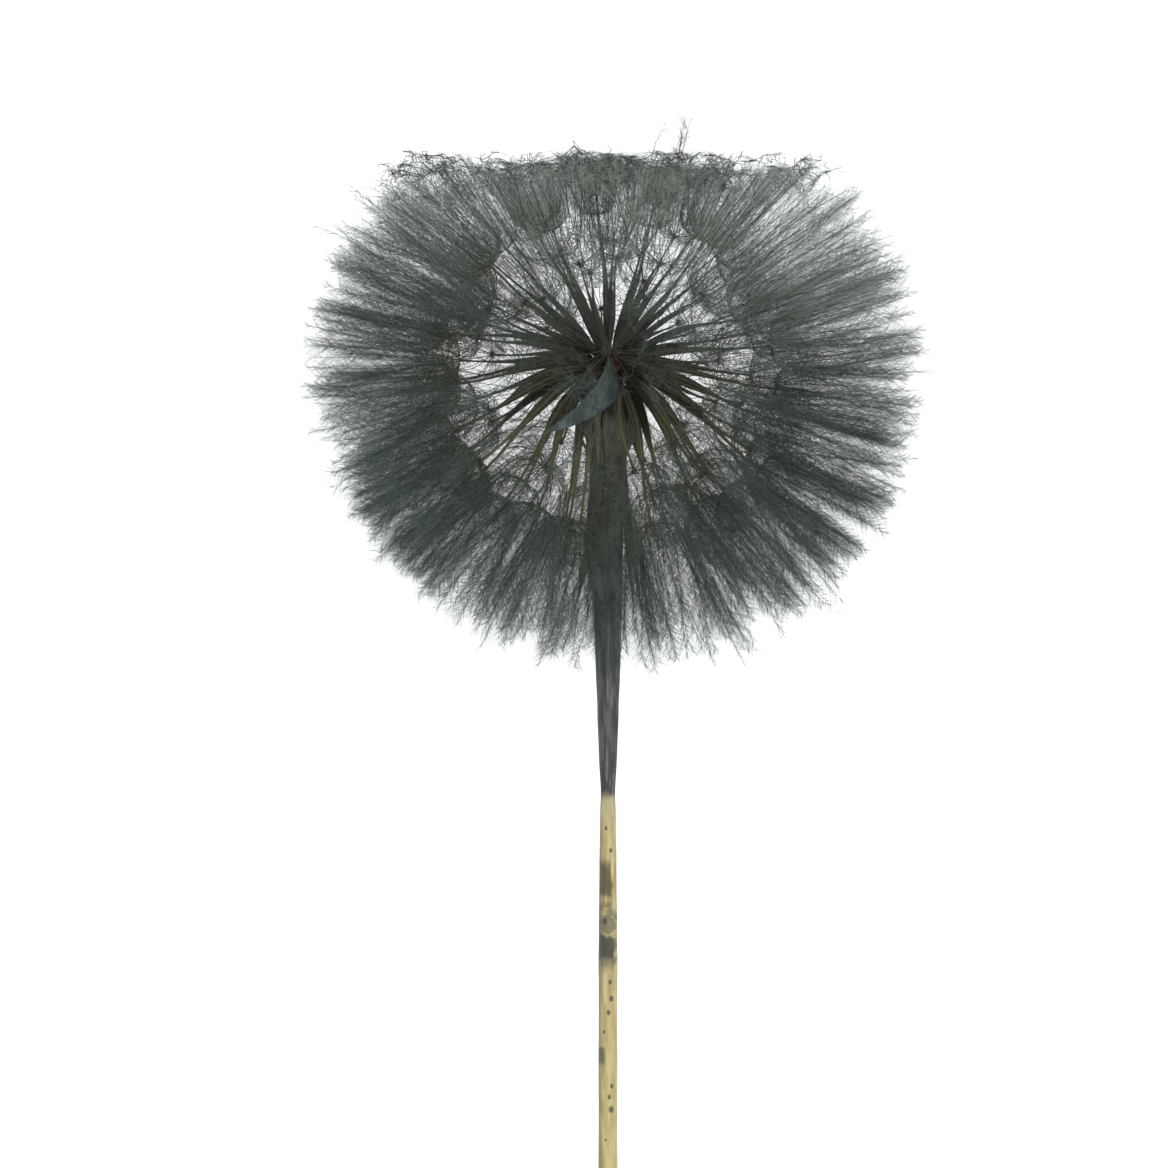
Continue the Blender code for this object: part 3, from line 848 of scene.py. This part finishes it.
def make_plumes(group, numbers, nodes, finish, patterns, clumps, pull):
    """One piece of plumes: the ribs, thicker where the crown is matted, and the four sorts of hair."""
    rib, *hair_patterns = patterns
    spines, side, mat, fullness = grow_ribs(numbers, clumps, pull)
    count = len(spines)
    depth = np.abs(spines[:, :, 2] - CROWN_HEIGHT + 1.2 * MM)
    matted = np.clip(1.8 - depth / MM, 0, 1) * np.clip(chance.normal(1.2, 1.0, (count, 1)), 0, 3)
    widths = RIB_WIDTH * chance.uniform(0.7, 1.2, (count, 1)) * (1 + matted)
    parts = [(rib, rib.lay_along(spines, side, widths))]
    tone = [np.repeat(chance.uniform(0, 0.4, count), len(rib.points))]
    along = [np.tile((RIB_STATIONS / RIB_STATIONS[-1])[rib.station], count)]
    clumped = np.sin(spines[:, -1, 0] * 420 + 1) + np.sin(spines[:, -1, 1] * 510) > -0.5
    flat = (np.abs(spines[:, -1, 2] - CROWN_HEIGHT + 1.3 * MM) < 1.8 * MM) & clumped
    amounts = (fullness[0], fullness[1], fullness[0], flat * MATS_SHARE)
    for sort, amount, hair in zip((BARBS, WEB, DOWN, MATS), amounts, hair_patterns):
        curves, facing, widths, shares = grow_hairs(sort, spines, side, mat, amount)
        parts.append((hair, hair.lay_along(curves, facing, widths)))
        tone.append(np.repeat(chance.uniform(*sort.tones, len(curves)), len(hair.points)))
        along.append(np.repeat(shares, len(hair.points)))
    attributes = {"tone": np.concatenate(tone), "along": np.concatenate(along)}
    settle(place_mesh(f"plumes_{group:02d}", parts, finish, attributes), finish, nodes)


def make_fruits():
    """Every seed and plume, four pairs of fruits to a piece."""
    seed_coat, hair = finish_seed(), finish_plume()
    last = len(SEED_OUTLINE) - 1
    outline = [(i / last, radius) for i, (_, radius) in enumerate(SEED_OUTLINE)]
    seed_rod = draw_out("seed", 10, outline, ridge=0.22)
    seed = Pattern(seed_rod, len(SEED_OUTLINE))
    last = len(RIB_STATIONS) - 1
    taper = [1.0, 1.0, 0.97, 0.94, 0.92, 0.88, 0.82, 0.75, 0.66, 0.56, 0.44, 0.01]
    rib = Pattern(draw_out("rib", 3, [(i / last, taper[i]) for i in range(last + 1)], merge=0.02), last + 1)
    barb = Pattern(draw_out("barb", 3, [(0, 1), (0.5, 0.8), (1, 0.01)], merge=0.02), 3)
    web = Pattern(draw_out("web", 3, [(0, 1), (1, 0.01)], squash=0.3, merge=0.02), 2)
    down = Pattern(draw_out("down", 3, [(0, 1), (1, 0.01)], merge=0.02), 2)
    outline = [(0, 0.8), (0.25, 1), (0.5, 1), (0.75, 0.8), (1, 0.3)]
    curled = Pattern(draw_out("curled", 3, outline, merge=0.02), 5)
    clumps, pull = clump_centres()
    pairs = pair_up()
    names = [f"fruit_pair_{i + 1:02d}" for i in range(len(pairs))]
    for group in range(0, len(pairs), 4):
        numbers = [number for pair in pairs[group : group + 4] for number in pair]
        nodes = names[group : group + 4]
        make_seeds(group // 4 + 1, numbers, nodes, seed_coat, seed)
        make_plumes(group // 4 + 1, numbers, nodes, hair, (rib, barb, web, down, curled), clumps, pull)


# Floor, light and camera

def make_floor():
    bpy.ops.object.select_all(action="DESELECT")
    bpy.ops.mesh.primitive_plane_add(size=4, location=(0, 0, -0.0002))
    floor = bpy.context.object
    floor.name = "floor"
    paper = Finish("white_table", 0.7, 0.1)
    place = paper.add("TexCoord", output=3)
    cloud = paper.noise(place, 9, 3)
    paper.colour(paper.mix(cloud, (0.44, 0.45, 0.45), (0.47, 0.48, 0.48)))
    paper.shader.inputs["Emission Color"].default_value = (0.985, 1.0, 1.0, 1)
    paper.shader.inputs["Emission Strength"].default_value = 0.84
    floor.data.materials.append(paper.material)


def make_light():
    world = bpy.data.worlds.new("soft_room")
    world.use_nodes = True
    world.node_tree.nodes["Background"].inputs["Color"].default_value = (0.97, 1.0, 1.0, 1)
    world.node_tree.nodes["Background"].inputs["Strength"].default_value = 0.62
    bpy.context.scene.world = world
    light = bpy.data.lights.new("soft_box", "AREA")
    light.shape = "DISK"
    light.size = 0.9
    light.energy = 9
    lamp = bpy.data.objects.new("soft_box", light)
    lamp.location = HEAD + Vector((0.12, -math.sin(SLOPE), math.cos(SLOPE))) * 1.05
    lamp.rotation_euler = (HEAD - lamp.location).to_track_quat("-Z", "Y").to_euler()
    bpy.context.scene.collection.objects.link(lamp)


def make_camera():
    """A long lens that looks square to the stem, with the crown at the top."""
    lens = bpy.data.cameras.new("camera")
    lens.sensor_width = 36
    lens.lens = 150
    lens.clip_start = 0.01
    wide = 169 * MM  # across the view at the head's centre
    up = Vector((0, math.cos(SLOPE), math.sin(SLOPE)))
    back = Vector((0, -math.sin(SLOPE), math.cos(SLOPE)))
    target = HEAD - Vector((1, 0, 0)) * 3.47 * MM - up * 30.7 * MM
    eye = target + back * wide * lens.lens / lens.sensor_width
    camera = bpy.data.objects.new("camera", lens)
    camera.matrix_world = Matrix((
        (1, up.x, back.x, eye.x),
        (0, up.y, back.y, eye.y),
        (0, up.z, back.z, eye.z),
        (0, 0, 0, 1),
    ))
    bpy.context.scene.collection.objects.link(camera)
    bpy.context.scene.camera = camera
    bpy.context.scene.view_settings.view_transform = "Standard"


make_camera()
make_light()
make_floor()
make_stem(finish_stem())
make_receptacle(finish_receptacle())
folded_finish = finish_bract(
    "dry_grey_bract", base=(0.034, 0.036, 0.030), streak=(0.092, 0.084, 0.044), lighter=(0.070, 0.072, 0.058)
)
for bract_number in range(FOLDED_BRACTS):
    make_folded_bract(bract_number, folded_finish)
make_spread_bract(finish_bract(
    "blue_grey_bract", base=(0.034, 0.050, 0.052), streak=(0.072, 0.092, 0.090), lighter=(0.120, 0.155, 0.162)
))
make_fruits()
